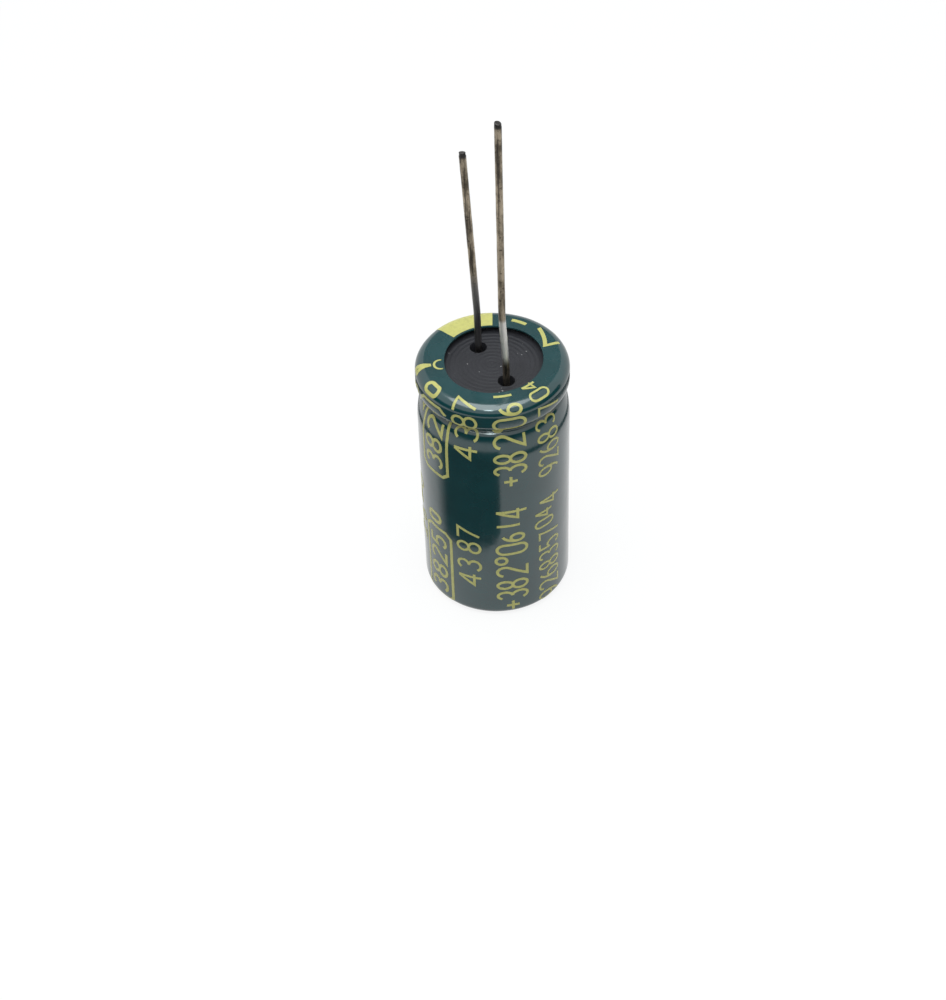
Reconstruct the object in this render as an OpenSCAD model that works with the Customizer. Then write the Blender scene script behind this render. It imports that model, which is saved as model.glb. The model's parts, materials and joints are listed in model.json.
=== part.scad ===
// Radial aluminium electrolytic capacitor, standing on its vented end with its two leads up.
// Millimetres. Z runs up the can's axis from the sleeve's underside, and X runs from the
// cathode lead (-X) to the anode lead (+X).

/* [Can] */
// Outside diameter of the bare aluminium can
can_d = 13; // [12:0.5:18]
// Height of the bare can, from its closed end to the top of its curled rim
can_h = 25; // [20:0.5:40]
// Thickness of the can's drawn side wall
can_wall = 0.3; // [0.2:0.05:0.35]
// Thickness of the can's closed end
base_t = 0.4; // [0.3:0.05:0.6]
// Outside radius of the corner between the side wall and the closed end
base_corner_r = 0.65; // [0.5:0.05:1]
// Inside radius of that corner
floor_corner_r = 0.3; // [0.1:0.05:0.35]
// Outside radius of the corner where the side wall turns in at the open end
rim_r = 0.8; // [0.6:0.05:1]
// Width of the flat ring on top of the rim
rim_flat = 0.35; // [0.1:0.05:0.6]
// Outside radius of the lip where the rim turns down into the rubber
lip_r = 0.45; // [0.4:0.05:0.6]
// How far the lip's cut edge is pressed below the top of the rubber
lip_bite = 0.15; // [0.05:0.05:0.3]

/* [Bead] */
// Distance of the rolled bead's middle below the top of the rim
bead_down = 2.75; // [2.6:0.05:3.2]
// Depth of the bead, measured on the outside of the can
bead_depth = 0.85; // [0.6:0.05:0.9]
// Radius of the hollow at the bottom of the bead
bead_hollow_r = 0.45; // [0.4:0.05:0.7]
// Radius of the two shoulders beside the bead
bead_shoulder_r = 0.65; // [0.5:0.05:0.7]
// Radius of the long ease where the side wall draws in towards the bead from below
bead_ease_r = 8; // [6:0.5:9]
// How steep that ease gets before the lower shoulder, in degrees
bead_ease_turn = 18; // [10:1:20]

/* [Vent] */
// Distance from the ends of the two crossed score lines to the sleeve's edge
vent_margin = 0.6; // [0.3:0.1:1.5]
// Width of a scored line at the surface
vent_w = 0.3; // [0.2:0.05:0.4]

/* [Sleeve] */
// Thickness of the shrunk sleeve
sleeve_t = 0.15; // [0.1:0.05:0.25]
// How far the sleeve reaches in over the rim, from the can's side wall
sleeve_top_lap = 2.15; // [1.7:0.05:2.6]
// How far the sleeve reaches in under the closed end, from the can's side wall
sleeve_base_lap = 1.9; // [1.5:0.05:2.2]
// Thickness of the printed polarity band, which lies flush in the sleeve
ink_t = 0.03; // [0.02:0.01:0.05]
// Width of the polarity band round the sleeve, in degrees
band_angle = 50; // [30:5:70]
// How far the band's middle lies from the cathode's side, in degrees
band_offset = -4; // [-10:1:10]

/* [Rubber bung] */
// Depth of the rubber's top face below the top of the can
bung_down = 0.5; // [0.45:0.05:0.8]
// Thickness of the rubber bung
bung_h = 4.8; // [4.2:0.1:6]
// Chamfer round the rubber's inner face
bung_chamfer = 0.3; // [0.1:0.05:0.4]
// Width of the plain margin between the rubber's raised rings and the can's lip
ring_margin = 0.7; // [0.4:0.1:2]
// Distance between the raised rings
ring_pitch = 0.42; // [0.35:0.01:0.6]
// Height of the raised rings
ring_h = 0.04; // [0.03:0.01:0.1]
// Diameter of the open mouth round each lead
mouth_d = 1.4; // [1.1:0.1:1.5]
// Depth of the open mouth round each lead
mouth_depth = 1.2; // [0.8:0.1:1.6]

/* [Leads] */
// Distance between the two leads where they leave the rubber
lead_pitch = 5; // [4:0.5:5]
// Diameter of the tinned lead wire
lead_d = 0.6; // [0.5:0.05:0.8]
// Height of the anode lead's tip above the rubber
anode_out = 26.15; // [20:0.05:35]
// Height of the cathode lead's tip above the rubber
cathode_out = 20.4; // [15:0.05:30]
// Height above the rubber at which the anode lead starts to lean
anode_bend = 1.9; // [1:0.1:4]
// Length of the anode lead's leaning stretch
anode_lean_l = 5; // [3:0.1:8]
// How far the anode lead leans over that stretch, in degrees
anode_lean = 3; // [0.5:0.5:8]
// Height above the rubber at which the cathode lead starts to lean
cathode_bend = 3.7; // [1:0.1:6]
// How far the cathode lead leans from there to its tip, in degrees
cathode_lean = 2.7; // [0.5:0.1:6]
// Direction in which both leads lean, in degrees from +X towards +Y
lean_turn = -116.8; // [-180:0.1:180]
// How much wider the wire is where it bends
bend_bulge = 0.02; // [0.02:0.01:0.06]
// Diameter of the weld where a lead meets its tab's post
weld_d = 1.1; // [0.9:0.1:1.1]
// Height of that weld
weld_h = 0.4; // [0.2:0.1:0.8]
// Chamfer round the cut tip of a lead
tip_chamfer = 0.12; // [0.05:0.01:0.2]

/* [Tabs] */
// Diameter of the round aluminium post that fills the rubber's hole
post_d = 1.6; // [1.5:0.1:2]
// How far the round post reaches below the rubber
post_below = 0.3; // [0.1:0.1:0.5]
// Height of the stretch where the post is pressed flat
press_h = 1.2; // [0.8:0.1:1.3]
// Width of the pressed flat
flat_w = 2.4; // [1.8:0.1:3]
// Thickness of the pressed flat
flat_t = 0.2; // [0.15:0.05:0.3]
// Play of the flat between the turns of the winding
flat_play = 0.03; // [0.03:0.01:0.06]
// Height of the flat's lower end above the can's floor
flat_up = 3.5; // [2:0.5:6]

/* [Winding] */
// Thickness of the etched anode foil
anode_foil_t = 0.1; // [0.08:0.01:0.12]
// Thickness of the cathode foil
cathode_foil_t = 0.05; // [0.03:0.01:0.06]
// Thickness of each of the two separator papers
paper_t = 0.05; // [0.03:0.01:0.06]
// Number of turns wound inside the tabs
inside_turns = 4; // [3:1:5]
// How far the foils lie inside the papers' edges
foil_recess = 0.8; // [0.3:0.1:1.2]
// Height left for the tabs between the winding and the rubber
tab_room = 1.8; // [1.7:0.1:3]
// Gap between the closing tape and the can's side wall
winding_gap = 0.25; // [0.25:0.05:0.5]
// Thickness of the closing tape
tape_t = 0.06; // [0.05:0.01:0.1]
// Height of the closing tape
tape_h = 9; // [5:0.5:11]

/* [Hidden] */
$fn = 96;
arc_step = 10;
past = 0.1;

can_r = can_d / 2;
can_in_r = can_r - can_wall;
base_z = sleeve_t;
floor_z = base_z + base_t;
rim_z = base_z + can_h;
bead_z = rim_z - bead_down;
bead_reach = bead_hollow_r + bead_shoulder_r;
bead_in = bead_depth - bead_hollow_r;
// Slopes of the flanks above and below the bead's hollow
upper_turn = acos(1 - bead_depth / bead_reach);
ease_in = bead_ease_r * (1 - cos(bead_ease_turn));
lower_turn = acos((bead_shoulder_r * cos(bead_ease_turn) + ease_in - bead_in) / bead_reach);
lower_shoulder = [can_r - bead_in - bead_reach * cos(lower_turn),
    bead_z - bead_reach * sin(lower_turn)];
ease_z = lower_shoulder.y - (bead_ease_r - bead_shoulder_r) * sin(bead_ease_turn);
lip_x = can_r - rim_r - rim_flat;
lip_in_r = lip_x - lip_r;
sleeve_top_open_r = can_r - sleeve_top_lap;
sleeve_base_open_r = can_r - sleeve_base_lap;
vent_l = 2 * (sleeve_base_open_r - vent_margin);
bung_z = rim_z - bung_down;
bung_base_z = bung_z - bung_h;
seat_z = bung_z - mouth_depth;
press_z = bung_base_z - post_below - press_h;
lead_x = lead_pitch / 2;
ball_in = 2 * bend_bulge;
anode_straight_z = anode_bend + anode_lean_l * cos(anode_lean);
cathode_lean_l = (cathode_out - cathode_bend) / cos(cathode_lean);

// The strips' places in one turn, from the inside: paper, anode foil, paper, cathode foil.
INNER_PAPER = 0;
ANODE = 1;
OUTER_PAPER = 2;
CATHODE = 3;
strip_t = [paper_t, anode_foil_t, paper_t, cathode_foil_t];
strip_down = [0, paper_t, paper_t + anode_foil_t, 2 * paper_t + anode_foil_t];
turn_t = 2 * paper_t + anode_foil_t + cathode_foil_t;
tab_gap = flat_t + flat_play;
paper_h = bung_base_z - tab_room - floor_z;
foil_h = paper_h - 2 * foil_recess;
flat_sweep = asin(flat_w / 2 / lead_x);
// The strips cross the +X side at even half turns and the -X side at odd ones.
anode_cross = 2 * inside_turns;
cathode_cross = anode_cross - 1;
core_r = lead_x - tab_gap / 2 - strip_down[ANODE] - anode_foil_t - turn_t * inside_turns;
last_cross = floor((can_in_r - winding_gap - 2 * tape_t - tab_gap - core_r) * 2 / turn_t) - 2;

function arc(centre, r, from, to) =
    let (steps = max(1, ceil(abs(to - from) / arc_step)))
    [for (i = [0 : steps]) let (a = from + (to - from) * i / steps)
        centre + r * [cos(a), sin(a)]];
function reversed(points) = [for (i = [len(points) - 1 : -1 : 0]) points[i]];

// The can's outline, moved outwards by d.
function corner_line(d) =
    arc([can_r - base_corner_r, base_z + base_corner_r], base_corner_r + d, -90, 0);
function bead_line(d, from = 0) = concat(
    arc([can_r - bead_ease_r, ease_z], bead_ease_r + d, from, bead_ease_turn),
    arc(lower_shoulder, bead_shoulder_r + d, bead_ease_turn, lower_turn),
    arc([can_r - bead_in, bead_z], bead_hollow_r - d, 180 + lower_turn, 180 - upper_turn),
    arc([can_r - bead_shoulder_r, bead_z + bead_reach * sin(upper_turn)],
        bead_shoulder_r + d, -upper_turn, 0));
function rim_line(d) = arc([can_r - rim_r, rim_z - rim_r], rim_r + d, 0, 90);
function lip_line(d) = concat(
    arc([lip_x, rim_z - lip_r], lip_r + d, 90, 180),
    [[lip_in_r - d, bung_z - lip_bite]]);
function side_line(d) = concat(corner_line(d), bead_line(d), rim_line(d));

// How far out a strip's inner face lies where it crosses the X axis. Past a tab, the strips
// lie further out by the tab's gap.
function past_tab(cross, strip) = cross % 2 == 0
    ? cross > anode_cross || (cross == anode_cross && strip > ANODE)
    : cross > cathode_cross;
function face_x(cross, strip) =
    core_r + turn_t * cross / 2 + strip_down[strip] + (past_tab(cross, strip) ? tab_gap : 0);

module sleeve_section(inner, outer) {
    polygon(concat(
        [[sleeve_base_open_r, base_z - outer]], side_line(outer),
        [[sleeve_top_open_r, rim_z + outer], [sleeve_top_open_r, rim_z + inner]],
        reversed(side_line(inner)), [[sleeve_base_open_r, base_z - inner]]));
}

module band(outer) {
    rotate_extrude(start = 180 + band_offset - band_angle / 2, angle = band_angle)
        sleeve_section(sleeve_t - ink_t, outer);
}

module sleeve() {
    color("#17504c") difference() {
        rotate_extrude() sleeve_section(0, sleeve_t);
        band(sleeve_t + past);
    }
}

module polarity_band() {
    color("#d9d680") band(sleeve_t);
}

module can() {
    floor_corner = arc([can_in_r - floor_corner_r, floor_z + floor_corner_r],
        floor_corner_r, -90, 0);
    score = vent_w / sqrt(2);
    color("silver") difference() {
        rotate_extrude() polygon(concat(
            [[0, base_z]], side_line(0), lip_line(0),
            reversed(concat([[0, floor_z]], floor_corner, bead_line(-can_wall),
                rim_line(-can_wall), lip_line(-can_wall)))));
        for (turn = [0, 90])
            translate([0, 0, base_z]) rotate([0, 0, turn]) rotate([45, 0, 0])
                cube([vent_l, score, score], center = true);
    }
}

module rubber_bung() {
    ring_w = ring_pitch / 2;
    rings = [for (r = [ring_pitch / 2 : ring_pitch : lip_in_r - ring_margin - ring_w / 2]) each
        [[r - ring_w / 2, bung_z], [r - ring_w / 4, bung_z + ring_h],
            [r + ring_w / 4, bung_z + ring_h], [r + ring_w / 2, bung_z]]];
    // The rubber's side starts part of the way up the ease, or below it.
    ease_r = bead_ease_r - can_wall;
    from = asin(max(0, bung_base_z + bung_chamfer - ease_z) / ease_r);
    side_r = can_in_r - ease_r * (1 - cos(from));
    color("#2b2a2e") difference() {
        rotate_extrude() polygon(concat(
            [[0, bung_base_z], [side_r - bung_chamfer, bung_base_z],
                [side_r, bung_base_z + bung_chamfer]],
            bead_line(-can_wall, from), rim_line(-can_wall), lip_line(-can_wall),
            [[lip_in_r, bung_z - lip_bite], [lip_in_r, bung_z]],
            reversed(rings), [[0, bung_z]]));
        for (side = [-1, 1]) translate([side * lead_x, 0, 0]) {
            translate([0, 0, seat_z]) cylinder(d = mouth_d, h = mouth_depth + ring_h + past);
            translate([0, 0, bung_base_z - past])
                cylinder(d = post_d, h = seat_z - bung_base_z + past);
        }
    }
}

// A bend of the wire: a ball that both straight stretches end in, just short of its middle.
module bend(angle) {
    sphere(d = lead_d + bend_bulge);
    rotate([0, angle, 0]) children();
}

module wire(length) {
    translate([0, 0, ball_in]) cylinder(d = lead_d, h = length - 2 * ball_in);
    translate([0, 0, length]) children();
}

module wire_end(length) {
    translate([0, 0, ball_in]) cylinder(d = lead_d, h = length - ball_in - tip_chamfer);
    translate([0, 0, length - tip_chamfer])
        cylinder(d1 = lead_d, d2 = lead_d - 2 * tip_chamfer, h = tip_chamfer);
}

// A lead's straight foot with its weld, up to the height where it starts to lean.
module lead_foot(side, bend_up) {
    foot_h = mouth_depth + bend_up;
    translate([side * lead_x, 0, seat_z]) rotate([0, 0, lean_turn]) {
        cylinder(d1 = weld_d, d2 = lead_d, h = weld_h);
        cylinder(d = lead_d, h = foot_h - ball_in);
        translate([0, 0, foot_h]) children();
    }
}

module anode_lead() {
    color("#8f8a80") lead_foot(1, anode_bend) bend(anode_lean) wire(anode_lean_l)
        bend(-anode_lean) wire_end(anode_out - anode_straight_z);
}

module cathode_lead() {
    color("#6f6a62") lead_foot(-1, cathode_bend) bend(cathode_lean) wire_end(cathode_lean_l);
}

// Part of a half turn that starts at the given crossing, down from its inner face by lift.
module half_turn(cross, strip, lift, t, h, start = 0, sweep = 180) {
    from_x = face_x(cross, strip) + lift;
    to_x = face_x(cross + 1, strip) + lift;
    side = cross % 2 == 0 ? 1 : -1;
    translate([side * (from_x - to_x) / 2, 0, 0])
        rotate_extrude(start = 180 * (cross % 2) + start, angle = sweep)
            translate([(from_x + to_x) / 2, 0]) square([t, h]);
}

module strip(place, first, last, z, h) {
    translate([0, 0, z]) for (cross = [first : last - 1])
        half_turn(cross, place, 0, strip_t[place], h);
}

// A round post, pressed flat below the rubber, with its flat on the outer face of its foil.
module tab(side, cross, place) {
    r = lead_x;
    press_top = (post_d + flat_t) / 2;
    translate([side * r, 0, bung_base_z - post_below])
        cylinder(d = post_d, h = seat_z - bung_base_z + post_below);
    intersection() {
        translate([side * r, 0, press_z]) cylinder(d1 = flat_w, d2 = post_d, h = press_h);
        translate([0, 0, press_z])
            rotate_extrude(start = side > 0 ? -45 : 135, angle = 90)
                polygon([[r - flat_t / 2, 0], [r + flat_t / 2, 0],
                    [r + press_top, press_h], [r - press_top, press_h]]);
    }
    flat_z = floor_z + flat_up;
    translate([0, 0, flat_z]) {
        half_turn(cross, place, strip_t[place], flat_t, press_z - flat_z, 0, flat_sweep);
        half_turn(cross - 1, place, strip_t[place], flat_t, press_z - flat_z,
            180 - flat_sweep, flat_sweep);
    }
}

module anode_tab() {
    color("#c9ccd0") tab(1, anode_cross, ANODE);
}

module cathode_tab() {
    color("#b9bcc0") tab(-1, cathode_cross, CATHODE);
}

module anode_foil() {
    color("#9c9ea3") strip(ANODE, 2, last_cross - 2, floor_z + foil_recess, foil_h);
}

module cathode_foil() {
    color("#cfd2d6") strip(CATHODE, 1, last_cross - 1, floor_z + foil_recess, foil_h);
}

module inner_paper() {
    color("#c8ae84") strip(INNER_PAPER, 0, last_cross, floor_z, paper_h);
}

module outer_paper() {
    color("#d6c096") strip(OUTER_PAPER, 0, last_cross, floor_z, paper_h);
}

// The tape starts on the last half turn, bridges the step at its end and closes on itself.
module closing_tape() {
    lift = turn_t;
    over_x = face_x(last_cross + 1, INNER_PAPER) + tape_t;
    step_x = face_x(last_cross + 2, INNER_PAPER);
    side = last_cross % 2 == 0 ? 1 : -1;
    color("#e8e2cf") translate([0, 0, floor_z + (paper_h - tape_h) / 2]) {
        half_turn(last_cross - 1, INNER_PAPER, lift, tape_t, tape_h);
        translate([side * (step_x - over_x) / 2, 0, 0])
            rotate_extrude(start = side > 0 ? 0 : 180, angle = 180)
                translate([(step_x + over_x) / 2, 0]) square([tape_t, tape_h]);
        half_turn(last_cross - 1, INNER_PAPER, lift + tape_t, tape_t, tape_h);
    }
}

sleeve();
polarity_band();
can();
rubber_bung();
anode_lead();
cathode_lead();
anode_tab();
cathode_tab();
anode_foil();
cathode_foil();
inner_paper();
outer_paper();
closing_tape();
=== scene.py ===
"""Looks of a radial aluminium electrolytic capacitor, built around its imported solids.

Metres. Z runs up the can's axis from the sleeve's underside, and X runs from the cathode lead
(-X) to the anode lead (+X). Print is laid out flat first: X is the distance up the film, with 0
at the sleeve's underside, and Y the distance round it. Then it is wrapped round the film.
"""

import json
import math
from collections import namedtuple

import bpy
from bpy.props import FloatProperty, FloatVectorProperty, IntProperty, PointerProperty
from bpy.types import Operator, Panel, PropertyGroup
from mathutils import Matrix, Vector

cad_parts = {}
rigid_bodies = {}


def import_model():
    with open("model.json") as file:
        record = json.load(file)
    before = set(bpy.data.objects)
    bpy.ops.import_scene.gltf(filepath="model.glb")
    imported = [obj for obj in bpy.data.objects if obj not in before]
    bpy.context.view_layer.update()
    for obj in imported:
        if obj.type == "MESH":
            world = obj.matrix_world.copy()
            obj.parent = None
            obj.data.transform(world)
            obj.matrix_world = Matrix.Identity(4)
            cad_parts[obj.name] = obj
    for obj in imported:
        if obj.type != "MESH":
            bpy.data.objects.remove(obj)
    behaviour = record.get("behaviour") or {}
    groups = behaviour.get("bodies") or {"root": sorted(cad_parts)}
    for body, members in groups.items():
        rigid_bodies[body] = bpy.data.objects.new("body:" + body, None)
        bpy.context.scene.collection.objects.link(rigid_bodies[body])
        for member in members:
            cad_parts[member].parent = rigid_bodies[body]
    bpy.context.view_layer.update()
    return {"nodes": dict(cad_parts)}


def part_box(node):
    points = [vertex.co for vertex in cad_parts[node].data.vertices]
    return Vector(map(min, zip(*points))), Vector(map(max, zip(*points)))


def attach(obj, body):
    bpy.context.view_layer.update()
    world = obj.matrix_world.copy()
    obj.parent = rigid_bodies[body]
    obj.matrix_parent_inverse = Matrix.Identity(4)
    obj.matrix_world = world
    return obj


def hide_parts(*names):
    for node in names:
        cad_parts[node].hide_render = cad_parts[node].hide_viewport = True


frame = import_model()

bl_info = {
    "name": "Radial capacitor looks",
    "version": (1, 0, 0),
    "blender": (4, 5, 0),
    "location": "View3D > Sidebar > Capacitor",
    "description": "Sleeve film, print, rubber, leads and studio of a radial capacitor",
    "category": "Add Mesh",
}

MM = 0.001
CAN_LOW, CAN_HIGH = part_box("can")
SLEEVE_LOW, SLEEVE_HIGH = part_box("sleeve")
BUNG_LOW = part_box("rubber_bung")[0]
ANODE_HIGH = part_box("anode_lead")[1]
CATHODE_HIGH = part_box("cathode_lead")[1]
FILM_T = CAN_LOW.z - SLEEVE_LOW.z
# Longest step along the film's outline, for its mesh.
FILM_STEP = 0.45 * MM

# The camera's turn, its slope downwards and its roll, in degrees.
CAMERA_TURN, CAMERA_DOWN, CAMERA_ROLL = 63.2, 44.863, -2.133
# Share of plain white in the floor close to the object, and the distances from the can's axis
# between which that share grows to 1.
FLOOR_WHITE = 0.86
FLOOR_FADE = (0.07, 0.25)
# Share of a soft-edged card's width over which it fades in.
CARD_FADE = 0.27


def length(name, description, default):
    return FloatProperty(name=name, description=description, default=default, min=0,
                         unit="LENGTH", precision=5)


def angle(name, description, degrees):
    return FloatProperty(name=name, description=description, default=math.radians(degrees),
                         unit="ROTATION", subtype="ANGLE")


def colour(name, description, default):
    return FloatVectorProperty(name=name, description=description, default=default, size=3,
                               min=0, max=1, subtype="COLOR")


def amount(name, description, default):
    return FloatProperty(name=name, description=description, default=default, min=0)


class CanSizes(PropertyGroup):
    base_corner_r: length("Base corner", "Radius between side wall and closed end", 0.65 * MM)
    rim_r: length("Rim", "Radius where the side wall turns in at the open end", 0.8 * MM)
    rim_flat: length("Rim flat", "Width of the flat ring on top of the rim", 0.35 * MM)
    wall: length("Wall", "Thickness of the drawn side wall", 0.3 * MM)
    lip_r: length("Lip", "Radius of the lip that turns down into the rubber", 0.45 * MM)
    lip_bite: length("Lip bite", "How far the lip's edge is below the rubber's top", 0.15 * MM)
    bead_down: length("Bead place", "Distance of the bead below the top of the rim", 2.75 * MM)
    bead_depth: length("Bead depth", "Depth of the rolled bead on the outside", 0.85 * MM)
    bead_hollow_r: length("Bead hollow", "Radius at the bottom of the bead", 0.45 * MM)
    bead_shoulder_r: length("Bead shoulder", "Radius of the shoulders beside it", 0.65 * MM)
    bead_ease_r: length("Ease", "Radius of the side wall's long ease below the bead", 8 * MM)
    bead_ease_turn: angle("Ease slope", "How steep that ease gets", 18)


class SleeveSizes(PropertyGroup):
    top_lap: length("Top lap", "How far the film reaches in over the rim", 2.15 * MM)
    base_lap: length("Base lap", "How far the film reaches in under the can", 1.9 * MM)
    ripple: length("Ripple", "Height of the shrunk film's faint ripples", 0.035 * MM)
    ripple_l: length("Ripple length", "Distance from one ripple to the next", 3.4 * MM)
    edge_wander: length("Edge wander", "How far the top edge strays inwards", 0.26 * MM)
    steps: IntProperty(name="Steps", description="Faces round the film", default=192, min=32)
    tint: colour("Film", "Dark green of the film", (0.003, 0.041, 0.046))
    gloss: amount("Roughness", "Roughness of the film", 0.13)


class PrintSizes(PropertyGroup):
    proud: length("Ink height", "How far the ink stands above the film", 0.016 * MM)
    repeat: length("Repeat", "Distance from one set of print to the next", 15.7 * MM)
    band_middle: angle("Band place", "Angle of the polarity band's middle", 176)
    band_sweep: angle("Band width", "Angle that the polarity band covers", 50)
    ink: colour("Ink", "Pale yellow of the print", (0.52, 0.50, 0.16))


class BungSizes(PropertyGroup):
    down: length("Depth", "Depth of the rubber's top below the can's rim", 0.5 * MM)
    chamfer: length("Chamfer", "Chamfer round the inner face", 0.3 * MM)
    ring_margin: length("Ring margin", "Plain width outside the rings", 0.7 * MM)
    ring_pitch: length("Ring pitch", "Distance between raised rings", 0.42 * MM)
    ring_h: length("Ring height", "Height of the raised rings", 0.032 * MM)
    mouth_r: length("Mouth radius", "Radius of the open mouth round each lead", 0.7 * MM)
    mouth_depth: length("Mouth depth", "Depth of that mouth", 1.2 * MM)
    mouth_flare: length("Mouth flare", "How much wider the mouth is at the top", 0.1 * MM)
    post_r: length("Post radius", "Radius of the aluminium post in the rubber", 0.8 * MM)
    tint: colour("Rubber", "Charcoal of the rubber", (0.020, 0.020, 0.024))


class LeadSizes(PropertyGroup):
    pitch: length("Pitch", "Distance between the leads at the rubber", 5 * MM)
    wire_r: length("Wire radius", "Radius of the tinned wire", 0.3 * MM)
    weld_r: length("Weld radius", "Radius of the weld at the lead's foot", 0.55 * MM)
    weld_h: length("Weld height", "Height of that weld", 0.4 * MM)
    lean_turn: angle("Lean direction", "Direction in which both leads lean", -116.8)
    anode_bend: length("Anode bend", "Height of the anode's bend over the rubber", 1.9 * MM)
    anode_lean_l: length("Anode leaning", "Length of the anode's leaning stretch", 5 * MM)
    anode_lean: angle("Anode lean", "How far that stretch leans", 3)
    cathode_bend: length("Cathode bend", "Height of the cathode's bend over the rubber", 3.7 * MM)
    cathode_lean: angle("Cathode lean", "How far the cathode leans from there", 2.7)
    tin: colour("Tin", "Colour of bare tin", (0.72, 0.71, 0.68))
    tarnish: colour("Tarnish", "Colour of tarnished tin", (0.23, 0.195, 0.145))


class StudioSettings(PropertyGroup):
    softbox: amount("Soft box", "Power of the overhead soft box in watts", 1.15)
    strip: amount("Strip light", "Power of the small lamp for the rim's highlight", 0.14)
    around: amount("Surroundings", "Strength of the pale surroundings", 0.4)
    floor: amount("Floor", "How pale the floor is where it lights the object", 0.45)
    lens: FloatProperty(name="Lens", description="Focal length in millimetres", default=74.725)
    camera: FloatVectorProperty(name="Camera", description="Place of the camera", size=3,
                                default=(118.606 * MM, -62.238 * MM, 141.630 * MM),
                                unit="LENGTH", precision=5)


SETTINGS = (("capacitor_can", CanSizes), ("capacitor_sleeve", SleeveSizes),
            ("capacitor_print", PrintSizes), ("capacitor_bung", BungSizes),
            ("capacitor_leads", LeadSizes), ("capacitor_studio", StudioSettings))


# Shapes drawn in two dimensions

def ellipse(centre, radii, first, last, step=10):
    """Points of an ellipse's arc between two angles in degrees."""
    count = max(1, math.ceil(abs(last - first) / step))
    turns = [math.radians(first + (last - first) * i / count) for i in range(count + 1)]
    return [(centre[0] + radii[0] * math.cos(t), centre[1] + radii[1] * math.sin(t))
            for t in turns]


def arc(centre, radius, first, last, step=7.5):
    return ellipse(centre, (radius, radius), first, last, step)


def evenly(line, gap):
    """The same line with points added, so that no two lie further apart than gap."""
    points = [line[0]]
    for start, end in zip(line, line[1:]):
        count = max(1, math.ceil(math.dist(start, end) / gap))
        points += [tuple(s + (e - s) * i / count for s, e in zip(start, end))
                   for i in range(1, count + 1)]
    return points


def line_length(line):
    return sum(math.dist(start, end) for start, end in zip(line, line[1:]))


def turned(r, z, turn):
    """The point or the direction that lies at (r, z) in the plane at an angle round Z."""
    return Vector((r * math.cos(turn), r * math.sin(turn), z))


def bead_line(lift):
    """The rolled bead's outline as (r, z) points, upwards, moved out from the can by lift."""
    can = bpy.context.scene.capacitor_can
    z = CAN_HIGH.z - can.bead_down
    reach = can.bead_hollow_r + can.bead_shoulder_r
    inwards = can.bead_depth - can.bead_hollow_r
    ease = can.bead_ease_turn
    ease_in = can.bead_ease_r * (1 - math.cos(ease))
    upper = math.acos(1 - can.bead_depth / reach)
    lower = math.acos((can.bead_shoulder_r * math.cos(ease) + ease_in - inwards) / reach)
    shoulder = (CAN_HIGH.x - inwards - reach * math.cos(lower), z - reach * math.sin(lower))
    ease_z = shoulder[1] - (can.bead_ease_r - can.bead_shoulder_r) * math.sin(ease)
    shoulder_r = can.bead_shoulder_r + lift
    ease, upper, lower = (math.degrees(turn) for turn in (ease, upper, lower))
    return (arc((CAN_HIGH.x - can.bead_ease_r, ease_z), can.bead_ease_r + lift, 0, ease, 1.5)
            + arc(shoulder, shoulder_r, ease, lower)
            + arc((CAN_HIGH.x - inwards, z), can.bead_hollow_r - lift, 180 + lower, 180 - upper)
            + arc((CAN_HIGH.x - can.bead_shoulder_r, z + reach * math.sin(math.radians(upper))),
                  shoulder_r, -upper, 0))


def rim_line(lift):
    can = bpy.context.scene.capacitor_can
    return arc((CAN_HIGH.x - can.rim_r, CAN_HIGH.z - can.rim_r), can.rim_r + lift, 0, 90)


def film_line(lift):
    """The film's outline from its lower edge to its upper one, moved out from the can."""
    can = bpy.context.scene.capacitor_can
    sleeve = bpy.context.scene.capacitor_sleeve
    corner = (CAN_HIGH.x - can.base_corner_r, CAN_LOW.z + can.base_corner_r)
    return ([(CAN_HIGH.x - sleeve.base_lap, CAN_LOW.z - lift)]
            + arc(corner, can.base_corner_r + lift, -90, 0)
            + bead_line(lift) + rim_line(lift)
            + [(CAN_HIGH.x - sleeve.top_lap, CAN_HIGH.z + lift)])


# Modelling steps

def deselect():
    bpy.ops.object.select_all(action="DESELECT")


def activate(piece):
    """Makes this the only selected piece, and the active one."""
    deselect()
    piece.select_set(True)
    bpy.context.view_layer.objects.active = piece


def edit_all():
    """Opens the active piece in edit mode, with everything selected."""
    bpy.ops.object.mode_set(mode="EDIT")
    bpy.ops.mesh.select_all(action="SELECT")


def name_piece(piece, name):
    piece.name = name
    piece.data.name = name
    return piece


def point_piece(name):
    """A new piece of one vertex at the origin, open in edit mode."""
    deselect()
    bpy.ops.mesh.primitive_plane_add(size=MM)
    piece = name_piece(bpy.context.object, name)
    edit_all()
    bpy.ops.mesh.merge(type="CENTER")
    return piece


def draw_chain(points):
    """Moves the selected vertex to the first point and extrudes it through the others."""
    bpy.ops.transform.translate(value=Vector(points[0]))
    for last, point in zip(points, points[1:]):
        step = Vector(point) - Vector(last)
        bpy.ops.mesh.extrude_vertices_move(TRANSFORM_OT_translate={"value": step})


def tidy_mesh():
    """Merges doubles, points all faces outwards and goes back to object mode."""
    bpy.ops.mesh.select_all(action="SELECT")
    bpy.ops.mesh.remove_doubles(threshold=0.001 * MM)
    bpy.ops.mesh.normals_make_consistent(inside=False)
    bpy.ops.object.mode_set(mode="OBJECT")


def lathe(name, line, steps, start=0.0, sweep=math.tau):
    """Spins a line of (r, z) points round Z, from an angle and through a sweep."""
    piece = point_piece(name)
    draw_chain([turned(r, z, start) for r, z in line])
    bpy.ops.mesh.select_all(action="SELECT")
    # The tool turns clockwise for a positive angle.
    bpy.ops.mesh.spin(steps=steps, angle=-sweep, center=(0, 0, 0), axis=(0, 0, 1))
    tidy_mesh()
    return piece


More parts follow.
